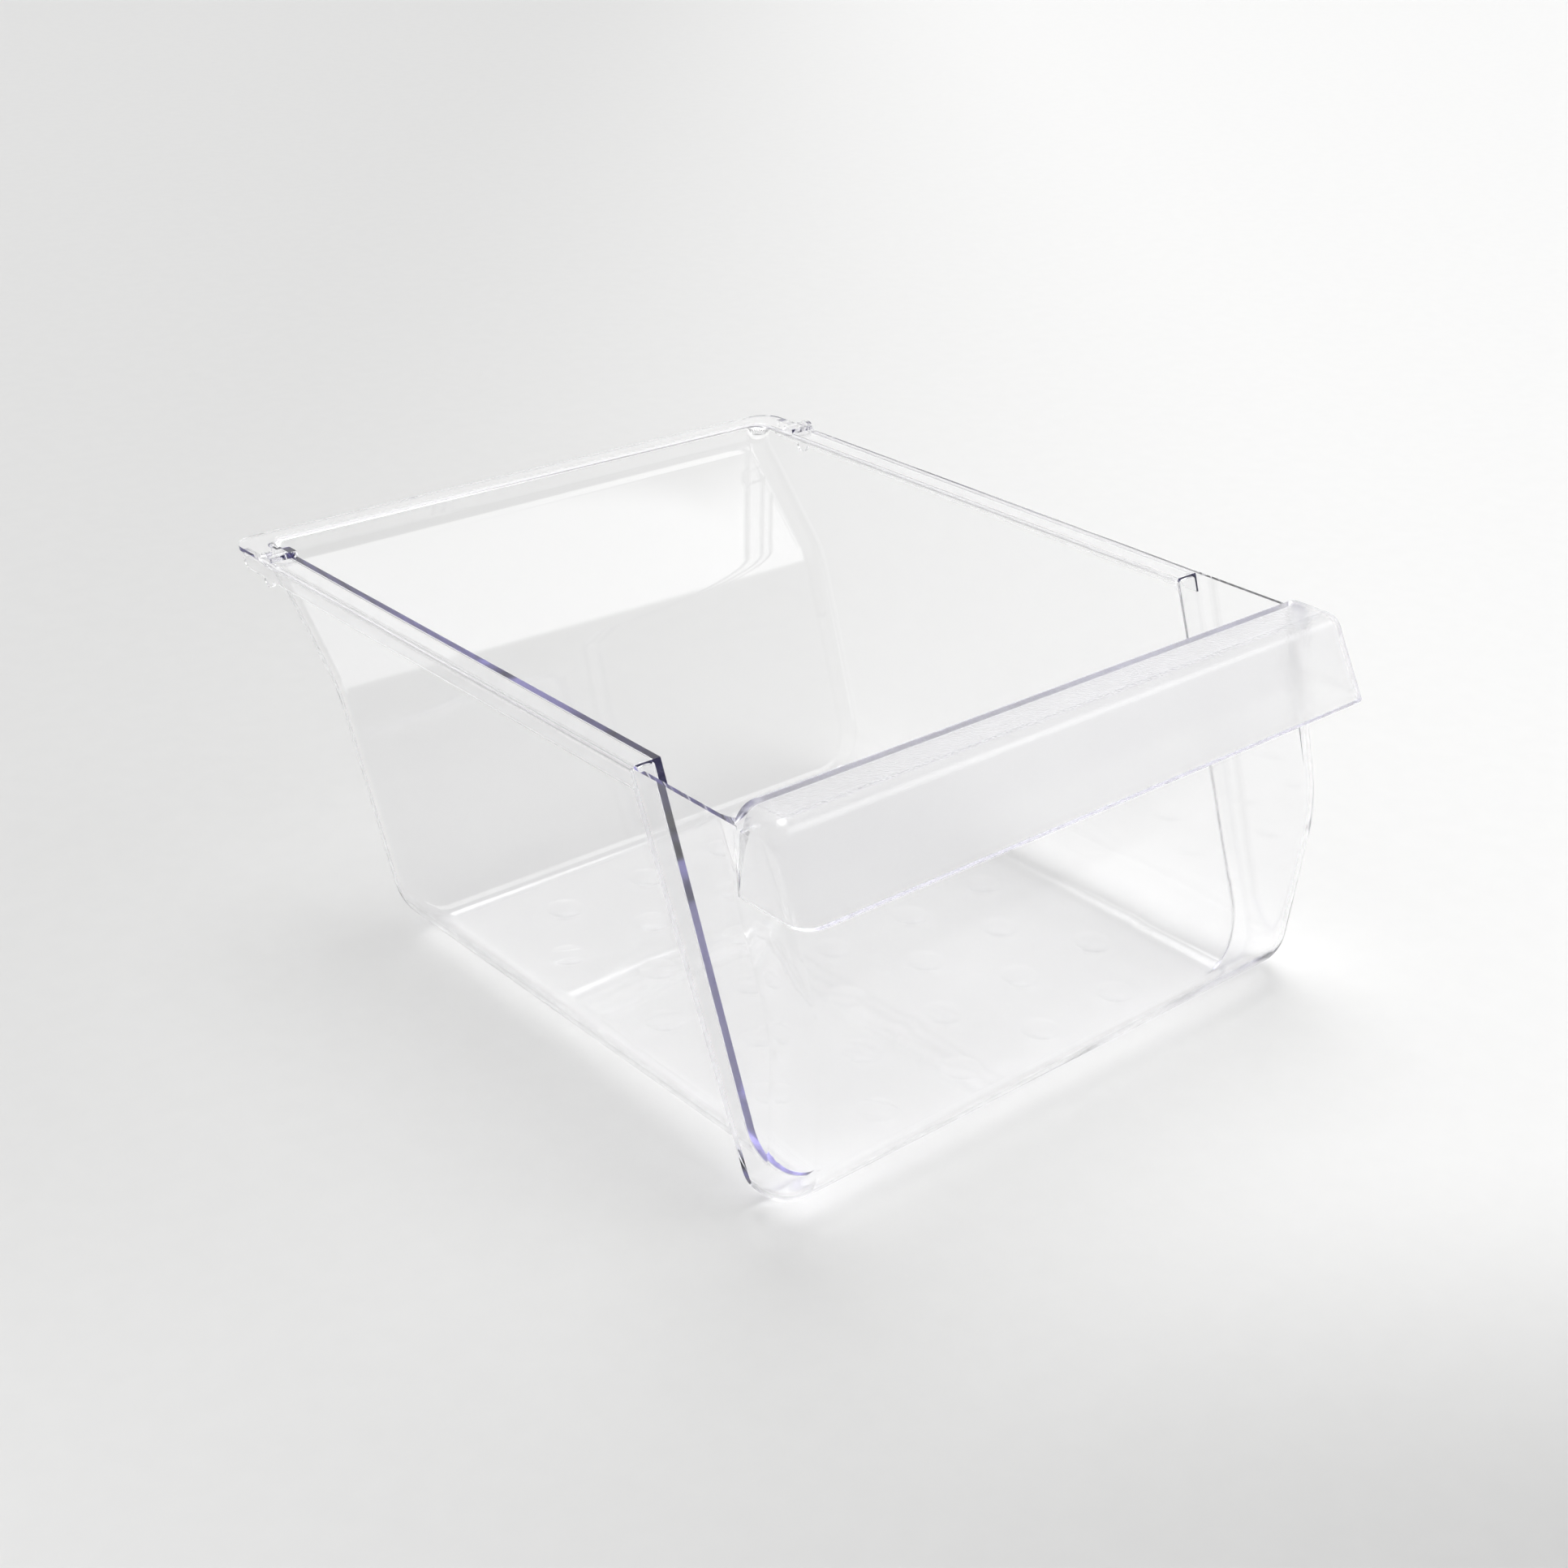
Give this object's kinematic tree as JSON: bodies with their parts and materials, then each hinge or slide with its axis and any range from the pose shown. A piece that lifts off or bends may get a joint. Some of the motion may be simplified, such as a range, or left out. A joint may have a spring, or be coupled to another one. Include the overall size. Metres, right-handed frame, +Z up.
{
  "type": "fridge crisper drawer",
  "caption": "Clear moulded refrigerator crisper drawer: open bin with stepped sides, rail flanges along the rim, a sloped back and a hooded pull across the front.",
  "frame": {"origin": "under the middle of the drawer, at the underside of the floor", "axes": "+X across the drawer to the right seen from the handle, +Y from the handle to the back, +Z up"},
  "size_m": [0.4006, 0.493, 0.215],
  "materials": {
    "clear_plastic": "clear, polished, front wall and pull lightly frosted"
  },
  "bodies": {
    "root": {"crisper_drawer": "clear_plastic"}
  },
  "joints": []
}
